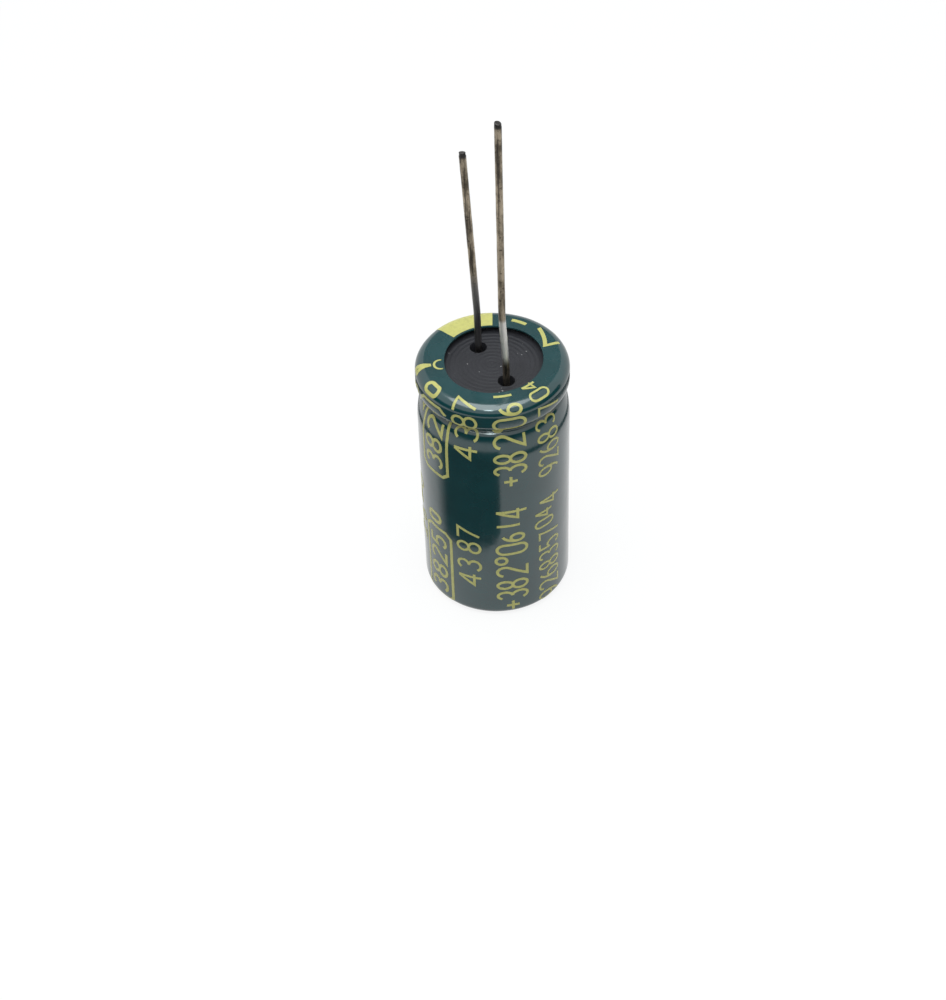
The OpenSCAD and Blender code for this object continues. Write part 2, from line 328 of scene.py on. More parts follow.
def add_modifier(piece, kind, **values):
    """Adds a modifier with these values and applies it."""
    activate(piece)
    bpy.ops.object.modifier_add(type=kind)
    modifier = piece.modifiers[-1]
    for key, value in values.items():
        setattr(modifier, key, value)
    bpy.ops.object.modifier_apply(modifier=modifier.name)


def clouds(name, size):
    texture = bpy.data.textures.new(name, "CLOUDS")
    texture.noise_scale = size
    return texture


def smooth(piece, degrees):
    activate(piece)
    bpy.ops.object.shade_smooth_by_angle(angle=math.radians(degrees))


def finish_piece(piece, material, slot_name, *replaced):
    """Gives the piece its material, body and the nodes that it stands for. The slot name is not
    used.
    """
    piece.data.materials.clear()
    piece.data.materials.append(material)
    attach(piece, "root")
    if replaced:
        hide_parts(*replaced)


def found(name):
    """An object by its name, with a plain error where an earlier step hasn't made it."""
    if name not in bpy.data.objects:
        raise RuntimeError(f"{name} is missing: run the steps in order")
    return bpy.data.objects[name]


# Materials

class Nodes:
    """A node material with its Principled shader and a few shorthands."""

    def __init__(self, name, roughness, metallic=0.0, specular=0.5):
        self.material = bpy.data.materials.new(name)
        self.material.use_nodes = True
        self.tree = self.material.node_tree
        self.shader = self.tree.nodes["Principled BSDF"]
        self.shader.inputs["Roughness"].default_value = roughness
        self.shader.inputs["Metallic"].default_value = metallic
        self.shader.inputs["Specular IOR Level"].default_value = specular
        self.place = self.tree.nodes.new("ShaderNodeTexCoord").outputs["Object"]

    def link(self, source, target):
        self.tree.links.new(source, target)

    def add(self, kind, **values):
        node = self.tree.nodes.new(kind)
        for key, value in values.items():
            setattr(node, key, value)
        return node

    def stretched(self, scale):
        """Object coordinates scaled by an amount along each axis."""
        node = self.add("ShaderNodeMapping")
        node.inputs["Scale"].default_value = scale
        self.link(self.place, node.inputs["Vector"])
        return node.outputs["Vector"]

    def noise(self, size, detail=3.0, vector=None, roughness=0.55):
        """Noise with features of about this size in metres."""
        node = self.add("ShaderNodeTexNoise")
        node.inputs["Scale"].default_value = 1 / size
        node.inputs["Detail"].default_value = detail
        node.inputs["Roughness"].default_value = roughness
        self.link(vector or self.place, node.inputs["Vector"])
        return node.outputs["Fac"]

    def cells(self, size):
        node = self.add("ShaderNodeTexVoronoi")
        node.inputs["Scale"].default_value = 1 / size
        self.link(self.place, node.inputs["Vector"])
        return node.outputs["Distance"]

    def ramp(self, source, *stops):
        """Maps a number through stops of (place, colour or grey)."""
        node = self.add("ShaderNodeValToRGB")
        elements = node.color_ramp.elements
        while len(elements) < len(stops):
            elements.new(0.5)
        for element, (place, value) in zip(elements, stops):
            element.position = place
            grey = isinstance(value, (int, float))
            element.color = (value, value, value, 1) if grey else (*value, 1)
        self.link(source, node.inputs["Fac"])
        return node.outputs["Color"]

    def mix(self, factor, first, second, blend="MIX"):
        """Mixes two colours, each a node's output or a plain colour."""
        node = self.add("ShaderNodeMix", data_type="RGBA", blend_type=blend)
        for source, key in ((factor, 0), (first, 6), (second, 7)):
            if isinstance(source, bpy.types.NodeSocket):
                self.link(source, node.inputs[key])
            elif key == 0:
                node.inputs[key].default_value = source
            else:
                node.inputs[key].default_value = (*source, 1)
        return node.outputs[2]

    def mix_shader(self, factor, first, second):
        """Mixes two shaders by a number or a node's output."""
        node = self.add("ShaderNodeMixShader")
        if isinstance(factor, bpy.types.NodeSocket):
            self.link(factor, node.inputs["Fac"])
        else:
            node.inputs["Fac"].default_value = factor
        self.link(first, node.inputs[1])
        self.link(second, node.inputs[2])
        return node.outputs[0]

    def span(self, source, low, high, to_low=0.0, to_high=1.0):
        """Maps a number from one range to another, clamped."""
        node = self.add("ShaderNodeMapRange", interpolation_type="SMOOTHSTEP")
        for key, value in (("From Min", low), ("From Max", high),
                           ("To Min", to_low), ("To Max", to_high)):
            node.inputs[key].default_value = value
        self.link(source, node.inputs["Value"])
        return node.outputs["Result"]

    def height(self):
        """Height above the sleeve's underside, in metres."""
        node = self.add("ShaderNodeSeparateXYZ")
        self.link(self.place, node.inputs["Vector"])
        return node.outputs["Z"]

    def radius(self):
        """Distance from the can's axis, in metres."""
        flat = self.stretched((1, 1, 0))
        node = self.add("ShaderNodeVectorMath", operation="LENGTH")
        self.link(flat, node.inputs[0])
        return node.outputs["Value"]

    def colour(self, source):
        self.link(source, self.shader.inputs["Base Color"])

    def roughness(self, source):
        self.link(source, self.shader.inputs["Roughness"])

    def bump(self, source, strength, depth):
        node = self.add("ShaderNodeBump")
        node.inputs["Strength"].default_value = strength
        node.inputs["Distance"].default_value = depth
        self.link(source, node.inputs["Height"])
        self.link(node.outputs["Normal"], self.shader.inputs["Normal"])


def shade(colour_value, share):
    """A lighter or darker copy of a colour."""
    return tuple(min(1.0, c * share) for c in colour_value)


def either(tree, first, second):
    """The larger of two numbers in a node tree."""
    node = tree.nodes.new("ShaderNodeMath")
    node.operation = "MAXIMUM"
    tree.links.new(first, node.inputs[0])
    tree.links.new(second, node.inputs[1])
    return node.outputs[0]


def in_gloss(tree, path):
    """1 where a surface is seen in a reflection or through glass."""
    return either(tree, path.outputs["Is Glossy Ray"], path.outputs["Is Transmission Ray"])


def film_material():
    sleeve = bpy.context.scene.capacitor_sleeve
    m = Nodes("shrink_film", sleeve.gloss, specular=0.85)
    cloud = m.noise(2.6 * MM, 2)
    m.colour(m.ramp(cloud, (0.3, shade(sleeve.tint, 0.86)), (0.7, shade(sleeve.tint, 1.14))))
    smear = m.noise(1.1 * MM, 4, m.stretched((1, 1, 0.25)))
    m.roughness(m.ramp(smear, (0.35, sleeve.gloss * 0.8), (0.75, sleeve.gloss * 1.5)))
    m.bump(m.noise(0.9 * MM, 2), 0.25, 0.02 * MM)
    return m.material


def ink_material(name, tint):
    m = Nodes(name, 0.34)
    patchy = m.noise(0.35 * MM, 4)
    thin = m.noise(2.2 * MM, 2)
    body = m.ramp(patchy, (0.25, shade(tint, 0.8)), (0.6, tuple(tint)))
    m.colour(m.mix(m.span(thin, 0.35, 0.7, 0, 0.35), body, shade(tint, 0.82)))
    m.roughness(m.ramp(patchy, (0.3, 0.42), (0.7, 0.26)))
    m.bump(patchy, 0.3, 0.01 * MM)
    return m.material


def rubber_material():
    bung = bpy.context.scene.capacitor_bung
    m = Nodes("bung_rubber", 0.55, specular=0.28)
    grain = m.noise(0.12 * MM, 4)
    cloud = m.noise(1.6 * MM, 3)
    body = m.mix(cloud, shade(bung.tint, 0.72), shade(bung.tint, 1.3))
    specks = m.ramp(m.cells(0.55 * MM), (0.08, 1.0), (0.12, 0.0))
    rare = m.span(m.noise(0.9 * MM, 0), 0.52, 0.58)
    dust = m.mix(1.0, specks, rare, "MULTIPLY")
    m.colour(m.mix(dust, body, (0.34, 0.33, 0.33)))
    m.roughness(m.ramp(grain, (0.3, 0.42), (0.7, 0.68)))
    m.bump(grain, 0.5, 0.02 * MM)
    return m.material


def wire_material(name, bright_low, bright_high, shaded_below, tip_z):
    """Tinned wire: tarnished in patches, bright between two heights, darkened near the rubber by
    painted shade, and dark at its tip.
    """
    leads = bpy.context.scene.capacitor_leads
    m = Nodes(name, 0.34, metallic=1.0)
    z = m.height()
    patches = m.noise(1.3 * MM, 5, m.stretched((1.6, 1.6, 0.7)), 0.65)
    spots = m.noise(0.3 * MM, 3)
    stain = m.span(patches, 0.34, 0.62)
    body = m.mix(stain, shade(leads.tarnish, 0.55), shade(leads.tarnish, 1.75))
    body = m.mix(m.span(spots, 0.58, 0.68, 0, 0.75), body, (0.035, 0.03, 0.026))
    streaks = m.noise(0.26 * MM, 3, m.stretched((1, 1, 0.07)))
    body = m.mix(m.span(streaks, 0.5, 0.62, 0, 0.8), body, (0.05, 0.044, 0.04))
    low = m.span(z, bright_low, bright_low + 1.2 * MM)
    high = m.span(z, bright_high, bright_high - 0.5 * MM)
    clean = m.mix(1.0, low, high, "MULTIPLY")
    body = m.mix(clean, body, tuple(leads.tin))
    # Painted shade: the lead darkens from the given height down towards the rubber, standing in
    # for the shade and the dark rubber's reflection at its foot.
    painted_shade = m.span(z, shaded_below, shaded_below - 2.5 * MM, 0, 0.86)
    body = m.mix(painted_shade, body, (0.2, 0.198, 0.205))
    cut = m.span(z, tip_z - 0.6 * MM, tip_z - 0.3 * MM)
    m.colour(m.mix(cut, body, (0.06, 0.057, 0.055)))
    m.roughness(m.ramp(patches, (0.3, 0.5), (0.65, 0.3)))
    m.bump(m.noise(0.22 * MM, 4, m.stretched((1, 1, 0.3))), 0.35, 0.02 * MM)
    return m.material


def can_material():
    """Drawn aluminium: satin, with fine rings from the press on its closed end."""
    m = Nodes("drawn_aluminium", 0.32, metallic=1.0)
    turned = m.add("ShaderNodeTexNoise", noise_dimensions="1D")
    turned.inputs["Scale"].default_value = 1 / (0.11 * MM)
    m.link(m.radius(), turned.inputs["W"])
    m.colour(m.ramp(m.noise(2 * MM, 3), (0.3, (0.66, 0.67, 0.68)), (0.7, (0.8, 0.8, 0.81))))
    m.roughness(m.ramp(turned.outputs["Fac"], (0.3, 0.24), (0.7, 0.42)))
    m.bump(turned.outputs["Fac"], 0.25, 0.01 * MM)
    return m.material


def metal_material(name, tint, roughness, grain):
    """Sheet aluminium with a fine grain, for tabs and foils."""
    m = Nodes(name, roughness, metallic=1.0)
    speckle = m.noise(grain, 4)
    m.colour(m.ramp(speckle, (0.3, shade(tint, 0.8)), (0.7, tuple(tint))))
    m.roughness(m.ramp(speckle, (0.3, roughness * 0.8), (0.7, roughness * 1.3)))
    m.bump(speckle, 0.3, 0.01 * MM)
    return m.material


def paper_material(name, tint, roughness):
    """Soaked paper or tape, with long fibres round the winding."""
    m = Nodes(name, roughness, specular=0.35)
    fibres = m.noise(0.5 * MM, 5, m.stretched((1, 1, 4)))
    m.colour(m.ramp(fibres, (0.3, shade(tint, 0.78)), (0.7, tuple(tint))))
    m.roughness(m.ramp(fibres, (0.3, roughness * 0.85), (0.7, min(1.0, roughness * 1.2))))
    m.bump(fibres, 0.35, 0.01 * MM)
    return m.material


# Print

def oval(x, y, wide, high, first=0, last=360):
    return ellipse((x, y), (wide, high), first, last, 15)


def upside_down(strokes):
    return [[(1 - x, 2 - y) for x, y in stroke] for stroke in strokes]


SIX = [oval(0.5, 0.6, 0.5, 0.6), oval(1, 0.62, 1, 1.38, 180, 108)]

# Strokes of plain digits and marks, each in a cell 1 wide and 2 high.
STROKES = {
    "0": [oval(0.5, 0.5, 0.5, 0.5, 180, 360) + oval(0.5, 1.5, 0.5, 0.5, 0, 180) + [(0, 0.5)]],
    "1": [[(0.1, 1.55), (0.6, 2), (0.6, 0)]],
    "2": [oval(0.5, 1.5, 0.5, 0.5, 165, -37) + [(0, 0), (1, 0)]],
    "3": [oval(0.46, 1.52, 0.46, 0.48, 155, -90), oval(0.46, 0.52, 0.52, 0.52, 90, -155)],
    "4": [[(0.75, 0), (0.75, 2)], [(0.72, 1.95), (0, 0.6), (1.05, 0.6)]],
    "5": [[(0.92, 2), (0.12, 2), (0.05, 1.08)] + oval(0.46, 0.62, 0.5, 0.62, 125, -150)],
    "6": SIX,
    "7": [[(0, 2), (1, 2), (0.38, 0)]],
    "8": [oval(0.5, 1.5, 0.43, 0.5), oval(0.5, 0.5, 0.5, 0.5)],
    "9": upside_down(SIX),
    "plus": [[(0.5, 0.5), (0.5, 1.5)], [(0, 1), (1, 1)]],
    "minus": [[(0, 1), (1, 1)]],
    "ring": [oval(0.5, 1.72, 0.45, 0.36)],
    "plate": [[(0.06, 0), (0.94, 0), (1, 0.36), (1, 1.64), (0.94, 2), (0.06, 2), (0, 1.64),
               (0, 0.36), (0.06, 0)]],
    "arrow": [[(0, 1.9), (1, 1), (0, 0.1)]],
    "bar": [[(0.5, 0), (0.5, 2)]],
    "wedge": [[(0, 0.1), (0, 1.9), (1, 1.25), (1, 0.75), (0, 0.1)], [(0.1, 1.35), (0.9, 1)],
              [(0.1, 0.65), (0.9, 1)]],
}

# A sign's middle up the film, its name, its width, its height as a share of its row's, and
# how far it stands off the row's middle, against the clock.
Mark = namedtuple("Mark", "up sign wide share aside", defaults=(1.05, 1.0, 0.0))
# A row of print: its middle's angle, its signs' full height, its stroke and its marks.
Row = namedtuple("Row", "name angle high stroke marks")

ROWS = (
    Row("tall_row_ink", -16, 2.75, 0.27, (
        Mark(1.2, "plus", 1.1, 0.86), Mark(2.55, "3", 0.95), Mark(3.9, "8", 1.0),
        Mark(5.65, "2", 1.15), Mark(7.1, "ring", 0.95), Mark(8.5, "0", 1.15),
        Mark(9.95, "6", 0.85, 0.72, 0.1), Mark(11.5, "bar", 0.8, 0.75, -0.3),
        Mark(12.95, "4", 1.05))),
    Row("short_row_ink", -50, 2.15, 0.25, (
        Mark(4.4, "4", 1.25), Mark(6.3, "3", 1.15), Mark(8.55, "8", 1.2),
        Mark(10.2, "7", 1.3, 0.95))),
    Row("narrow_row_ink", 17.5, 2.35, 0.21, (
        Mark(0.9, "9", 0.85), Mark(2.2, "2", 0.9), Mark(3.5, "6", 0.9), Mark(4.8, "8", 0.85),
        Mark(6.1, "3", 0.85), Mark(7.4, "5", 0.85), Mark(8.75, "7", 0.85),
        Mark(10.4, "0", 0.85, 0.86, -0.6), Mark(11.6, "4", 0.75, 0.8, -0.7),
        Mark(12.9, "4", 0.85))),
    Row("plate_ink", -80, 3.3, 0.3, (
        Mark(4.65, "plate", 8.7), Mark(1.85, "3", 1.2, 0.6), Mark(3.7, "8", 1.25, 0.6),
        Mark(5.6, "2", 1.25, 0.6), Mark(7.45, "5", 1.15, 0.6))),
    Row("round_ink", -83, 1.55, 0.36, (Mark(10.2, "0", 0.95),)),
    Row("edge_row_ink", -106, 1.5, 0.2, (
        Mark(10.4, "wedge", 1.4, 0.62, -0.5), Mark(12.05, "ring", 1.35, 3.2, 1.32),
        Mark(6.4, "2", 1.0), Mark(8.3, "6", 1.0))),
    Row("large_row_ink", 92.5, 2.9, 0.36, (
        Mark(2.3, "2", 1.5), Mark(4.5, "8", 1.55), Mark(6.7, "0", 1.6), Mark(8.9, "5", 1.4),
        Mark(11.0, "7", 1.3), Mark(13.4, "4", 1.5))),
    Row("second_row_ink", 125, 3.15, 0.34, (
        Mark(6.9, "minus", 1.3), Mark(8.9, "3", 1.35), Mark(11.15, "bar", 1.45, 0.55),
        Mark(13.2, "6", 1.4))),
)
# Turns round the film in degrees, and how its top edge strays there: out (+) or in (-).
STRAY = ((0, 0.2), (16, 0.2), (58, 0.12), (103, 0.27), (149, -0.5), (200, -0.77), (241, -1.0),
         (294, 0.23), (328, 0.31), (360, 0.2))

BAND_MARKS = Row("band_arrows", 176, 5.2, 0.2, (
    Mark(5.2, "arrow", 4.6), Mark(6.4, "arrow", 4.6)))

# A part of the film's gloss that a dark card fills: its middle and half its sweep in degrees,
# its lower and upper edge up the film, how far its lower edge sags, the card's height over the
# floor, and whether the card's left edge is soft.
Window = namedtuple("Window", "name middle half low high sag card_z soft")
WINDOWS = (Window("dark_flag", -52.75, 28.25, 11.0, 20.4, 2.6, 0.4, True),
           Window("head_flag", -30, 84, 24.15, 25.0, 0, 0.3, False))


def model_sign(sign, sunk, proud):
    """One digit or mark, drawn flat as standing ribbons, in millimetres wide and high."""
    piece = point_piece("sign_" + sign)
    for i, stroke in enumerate(STROKES[sign]):
        if i:
            bpy.ops.mesh.select_all(action="DESELECT")
            bpy.ops.mesh.primitive_plane_add(size=MM)
            bpy.ops.mesh.merge(type="CENTER")
        draw_chain([(x * MM, y * MM, -sunk) for x, y in evenly(stroke, 0.2)])
        bpy.ops.mesh.select_linked()
        bpy.ops.mesh.remove_doubles(threshold=0.01 * MM)
        # Each later stroke stands a hair higher, so that no two tops lie in one plane.
        top = proud * (1 + 0.25 * i)
        bpy.ops.mesh.extrude_region_move(TRANSFORM_OT_translate={"value": (0, 0, sunk + top)})
    bpy.ops.object.mode_set(mode="OBJECT")
    return piece


def place_sign(model, mark, up, row):
    """A copy of a modelled sign at its place in a flat row."""
    piece = model.copy()
    piece.data = model.data.copy()
    bpy.context.scene.collection.objects.link(piece)
    deepest = -row.high / 2 * mark.share - mark.aside
    size = Matrix.Diagonal((mark.wide, row.high / 2 * mark.share, 1, 1))
    piece.data.transform(Matrix.Translation((up - mark.wide / 2 * MM, deepest * MM, 0)) @ size)
    return piece


def film_point(reach, line):
    """The point and the outward normal at a distance along an outline of (r, z) points."""
    for start, end in zip(line, line[1:]):
        step = math.dist(start, end)
        if reach <= step or end == line[-1]:
            share = reach / step
            along = ((end[0] - start[0]) / step, (end[1] - start[1]) / step)
            point = (start[0] + (end[0] - start[0]) * share,
                     start[1] + (end[1] - start[1]) * share)
            return point, (along[1], -along[0])
        reach -= step


def film_start(line):
    """How far the outline's first point lies before the level of the sleeve's underside,
    measured along the film, with the side wall's heights as the scale."""
    can = bpy.context.scene.capacitor_can
    wall_z = CAN_LOW.z + can.base_corner_r
    reach = 0.0
    for start, end in zip(line, line[1:]):
        reach += math.dist(start, end)
        if abs(end[1] - wall_z) < 0.01 * MM:
            return wall_z - reach
    raise RuntimeError("the film's outline has no side wall")


def wrap_print(piece, middle, film, line):
    """Bends a flat row round the film, and seats it on the film's own ripples."""
    begin = film_start(line)
    for vertex in piece.data.vertices:
        up, side, height = vertex.co
        (r, z), normal = film_point(up - begin, line)
        turn = middle - side / SLEEVE_HIGH.x
        hit, surface, _, _ = film.closest_point_on_mesh(turned(r, z, turn))
        if not hit:
            raise RuntimeError("print misses the film")
        vertex.co = surface + turned(*normal, turn) * height


def trim(piece, line):
    """Cuts off what reaches past the film's two edges."""
    begin = film_start(line)
    bpy.context.view_layer.objects.active = piece
    bpy.ops.object.mode_set(mode="EDIT")
    for place, way in ((begin, -1), (begin + line_length(line), 1)):
        bpy.ops.mesh.select_all(action="SELECT")
        bpy.ops.mesh.bisect(plane_co=(place, 0, 0), plane_no=(way, 0, 0), use_fill=True,
                            clear_outer=True)
    bpy.ops.object.mode_set(mode="OBJECT")


def print_row(row, material, slot_name, lift=0.0):
    """A whole row of print with its repeats, from one model of each sign."""
    settings = bpy.context.scene.capacitor_print
    film = found("sleeve_film")
    line = film_line(FILM_T)
    sunk = 0.02 * MM
    models = {sign: model_sign(sign, sunk, lift + settings.proud)
              for sign in sorted({mark.sign for mark in row.marks})}
    begin = film_start(line)
    end = begin + line_length(line)
    pieces = []
    for mark in row.marks:
        for turn in (-1, 0, 1):
            up = mark.up * MM + turn * settings.repeat
            reach = mark.wide / 2 * MM
            if up + reach > begin and up - reach < end:
                pieces.append(place_sign(models[mark.sign], mark, up, row))
    deselect()
    for piece in pieces:
        piece.select_set(True)
    bpy.context.view_layer.objects.active = pieces[0]
    bpy.ops.object.join()
    print_piece = name_piece(bpy.context.object, row.name)
    for model in models.values():
        bpy.data.objects.remove(model)
    add_modifier(print_piece, "SOLIDIFY", thickness=row.stroke * MM, offset=0,
                 use_even_offset=True)
    edit_all()
    bpy.ops.mesh.subdivide(number_cuts=1)
    bpy.ops.mesh.normals_make_consistent(inside=False)
    bpy.ops.object.mode_set(mode="OBJECT")
    trim(print_piece, line)
    wrap_print(print_piece, math.radians(row.angle), film, line)
    smooth(print_piece, 30)
    finish_piece(print_piece, material, slot_name)


# Leads

def wire_route(x, bend, lean, lean_l, tip_z):
    """A lead's middle line from its weld to its tip, with soft bends, as a list of points."""
    leads = bpy.context.scene.capacitor_leads
    bung = bpy.context.scene.capacitor_bung
    top_z = CAN_HIGH.z - bung.down
    aside = turned(1, 0, leads.lean_turn)
    soft = 0.9 * MM
    step = 0.35 * MM

    def offset(z):
        """How far the lead has leaned at a height: straight, soft bend, slope, straight."""
        def slope(from_z):
            over = max(0.0, z - from_z + soft)
            return over - soft if over > 2 * soft else over * over / (4 * soft)
        start = top_z + bend
        far = slope(start)
        if lean_l:
            far -= slope(start + lean_l * math.cos(lean))
        return far * math.tan(lean)

    foot_z = top_z - bung.mouth_depth
    count = math.ceil((tip_z - foot_z - leads.weld_h) / step)
    heights = [foot_z + leads.weld_h + (tip_z - foot_z - leads.weld_h) * i / count
               for i in range(count + 1)]
    return [Vector((x, 0, foot_z))] + [Vector((x, 0, z)) + aside * offset(z) for z in heights]


def model_wire(name, route, cut_turn):
    """A wire extruded along its route from its weld, with a sheared tip."""
    leads = bpy.context.scene.capacitor_leads
    shear = math.radians(13)
    deselect()
    bpy.ops.mesh.primitive_circle_add(vertices=32, radius=leads.weld_r, fill_type="NGON",
                                      location=route[0])
    piece = name_piece(bpy.context.object, name)
    bpy.ops.object.transform_apply(location=True)
    edit_all()
    for i, (last, point) in enumerate(zip(route, route[1:])):
        bpy.ops.mesh.extrude_region_move(TRANSFORM_OT_translate={"value": point - last})
        if i == 0:
            share = leads.wire_r / leads.weld_r
            bpy.ops.transform.resize(value=(share, share, 1), center_override=point)
    bpy.ops.transform.rotate(value=shear, orient_axis="X", center_override=route[-1])
    bpy.ops.transform.rotate(value=cut_turn, orient_axis="Z", center_override=route[-1])
    bpy.ops.mesh.bevel(offset=0.07 * MM, segments=3, affect="EDGES")
    tidy_mesh()
    add_modifier(piece, "DISPLACE", texture=clouds(name + "_dents", 1.1 * MM),
                 texture_coords="LOCAL", strength=0.03 * MM, mid_level=0.5)
    smooth(piece, 45)
    return piece


# Steps, one for each piece or group of like pieces

class CAPACITOR_OT_sleeve(Operator):
    """Film shrunk over the can, with its rolled bead, rim and faint ripples"""
    bl_idname = "capacitor.sleeve"
    bl_label = "Shrink sleeve"

    def execute(self, context):
        sleeve = context.scene.capacitor_sleeve
        film = lathe("sleeve_film", evenly(film_line(FILM_T), FILM_STEP), sleeve.steps)
        add_modifier(film, "DISPLACE", texture=clouds("shrink_ripples", sleeve.ripple_l),
                     texture_coords="LOCAL", strength=sleeve.ripple, mid_level=0.5)
        self.stray_edge(film, sleeve)
        # The inner face stays a little clear of the can.
        add_modifier(film, "SOLIDIFY", thickness=FILM_T * 0.93, offset=-1, use_even_offset=True)
        smooth(film, 50)
        finish_piece(film, film_material(), "sleeve_film", "sleeve")
        return {"FINISHED"}

    def stray_edge(self, film, sleeve):
        """Lets the opening's edge wander a little, as shrunk film does."""
        open_r = CAN_HIGH.x - sleeve.top_lap
        fade = 0.9 * MM
        for vertex in film.data.vertices:
            r = math.hypot(vertex.co.x, vertex.co.y)
            if vertex.co.z < CAN_HIGH.z or r > open_r + fade:
                continue
            turn = math.degrees(math.atan2(vertex.co.y, vertex.co.x)) % 360
            near = [(place, value) for place, value in STRAY if place <= turn][-1]
            far = [(place, value) for place, value in STRAY if place > turn][0]
            ease = (1 - math.cos(math.pi * (turn - near[0]) / (far[0] - near[0]))) / 2
            wave = near[1] + (far[1] - near[1]) * ease
            share = 1 - (r - open_r) / fade
            grow = 1 + sleeve.edge_wander * wave * share / r
            vertex.co.x *= grow
            vertex.co.y *= grow


class CAPACITOR_OT_polarity_field(Operator):
    """Solid yellow field of the polarity band, with its thin arrows"""
    bl_idname = "capacitor.polarity_field"
    bl_label = "Polarity band"

    def execute(self, context):
        settings = context.scene.capacitor_print
        sleeve = context.scene.capacitor_sleeve
        line = evenly(film_line(FILM_T), FILM_STEP)
        start = settings.band_middle - settings.band_sweep / 2
        proud = settings.proud * 0.6
        field = lathe("polarity_field", line, 40, start, settings.band_sweep)
        film = found("sleeve_film")
        for vertex in field.data.vertices:
            _, surface, normal, _ = film.closest_point_on_mesh(vertex.co)
            vertex.co = surface + normal * proud
        self.face_out(field)
        add_modifier(field, "SOLIDIFY", thickness=0.03 * MM, offset=-1, use_even_offset=True)
        smooth(field, 50)
        ink = ink_material("band_yellow", shade(settings.ink, 1.08))
        finish_piece(field, ink, "print_ink", "polarity_band")
        print_row(BAND_MARKS, ink_material("band_line_green", shade(sleeve.tint, 1.2)),
                  "sleeve_film", proud)
        return {"FINISHED"}

    def face_out(self, field):
        """Turns the open sheet's faces away from the can where they point inwards."""
        middle = max(field.data.polygons, key=lambda p: math.hypot(p.center.x, p.center.y))
        if middle.normal.x * middle.center.x + middle.normal.y * middle.center.y < 0:
            field.data.flip_normals()


class CAPACITOR_OT_print(Operator):
    """Rows of plain digits round the film, over its bead and rim"""
    bl_idname = "capacitor.print"
    bl_label = "Rows of print"

    def execute(self, context):
        ink = ink_material("print_yellow", tuple(context.scene.capacitor_print.ink))
        for row in ROWS:
            print_row(row, ink, "print_ink")
        return {"FINISHED"}


class CAPACITOR_OT_bung(Operator):
    """Rubber bung with its raised rings and the mouths round the leads"""
    bl_idname = "capacitor.bung"
    bl_label = "Rubber bung"

    def execute(self, context):
        can = context.scene.capacitor_can
        bung = context.scene.capacitor_bung
        top_z = CAN_HIGH.z - bung.down
        lip_x = CAN_HIGH.x - can.rim_r - can.rim_flat
        lip_in_r = lip_x - can.lip_r
        lip = arc((lip_x, CAN_HIGH.z - can.lip_r), can.lip_r - can.wall, 90, 180)
        foot_z = BUNG_LOW.z + bung.chamfer
        edge = 0.04 * MM
        side = [point for point in bead_line(-can.wall) if point[1] > foot_z]
        line = ([(0, BUNG_LOW.z), (side[0][0] - bung.chamfer, BUNG_LOW.z),
                 (side[0][0], foot_z)]
                + side + rim_line(-can.wall) + lip
                + [(lip_in_r + can.wall, top_z - can.lip_bite), (lip_in_r, top_z - can.lip_bite),
                   (lip_in_r, top_z - edge), (lip_in_r - edge, top_z)]
                + self.rings(bung, lip_in_r, top_z))
        piece = lathe("bung_rubber", line, 128)
        for side in (-1, 1):
            self.cut_mouth(piece, context, side, top_z)
        smooth(piece, 40)
        finish_piece(piece, rubber_material(), "bung_rubber", "rubber_bung")
        return {"FINISHED"}

    def rings(self, bung, lip_in_r, top_z):
        """Raised rings from the outside to the middle, rounded like waves."""
        outside = lip_in_r - bung.ring_margin
        count = math.floor(outside / bung.ring_pitch)
        per_ring = 8
        points = []
        for i in range(count * per_ring, -1, -1):
            r = bung.ring_pitch * i / per_ring
            wave = (1 - math.cos(math.tau * i / per_ring)) / 2
            points.append((r, top_z + bung.ring_h * wave))
        return points

    def cut_mouth(self, piece, context, side, top_z):
        """Cuts the hole for a post, and the narrower mouth above it with its flare."""
        bung = context.scene.capacitor_bung
        seat_z = top_z - bung.mouth_depth
        over = 0.3 * MM
        flare_low, flare_middle = top_z - 0.2 * MM, top_z - 0.08 * MM
        line = [(0, BUNG_LOW.z - over), (bung.post_r, BUNG_LOW.z - over), (bung.post_r, seat_z),
                (bung.mouth_r, seat_z), (bung.mouth_r, flare_low),
                (bung.mouth_r + bung.mouth_flare * 0.3, flare_middle),
                (bung.mouth_r + bung.mouth_flare, top_z + over), (0, top_z + over)]
        cutter = lathe("mouth_cutter", line, 48)
        cutter.data.transform(Matrix.Translation((side * context.scene.capacitor_leads.pitch / 2,
                                                  0, 0)))
        add_modifier(piece, "BOOLEAN", operation="DIFFERENCE", object=cutter, solver="EXACT")
        bpy.data.objects.remove(cutter)


class CAPACITOR_OT_leads(Operator):
    """Two tinned wires, each with a weld at its foot and a sheared tip"""
    bl_idname = "capacitor.leads"
    bl_label = "Leads"

    def execute(self, context):
        leads = context.scene.capacitor_leads
        x = leads.pitch / 2
        route = wire_route(x, leads.anode_bend, leads.anode_lean, leads.anode_lean_l,
                           ANODE_HIGH.z)
        anode = model_wire("anode_wire", route, math.radians(40))
        tin = wire_material("anode_tin", bright_low=26.4 * MM, bright_high=31.6 * MM,
                            shaded_below=25.6 * MM, tip_z=ANODE_HIGH.z)
        finish_piece(anode, tin, "tinned_wire", "anode_lead")
        route = wire_route(-x, leads.cathode_bend, leads.cathode_lean, 0, CATHODE_HIGH.z)
        cathode = model_wire("cathode_wire", route, math.radians(-60))
        # The cathode's bright stretch lies above its tip: it has none.
        tin = wire_material("cathode_tin", bright_low=60 * MM, bright_high=61 * MM,
                            shaded_below=33.5 * MM, tip_z=CATHODE_HIGH.z)
        finish_piece(cathode, tin, "tinned_wire", "cathode_lead")
        return {"FINISHED"}


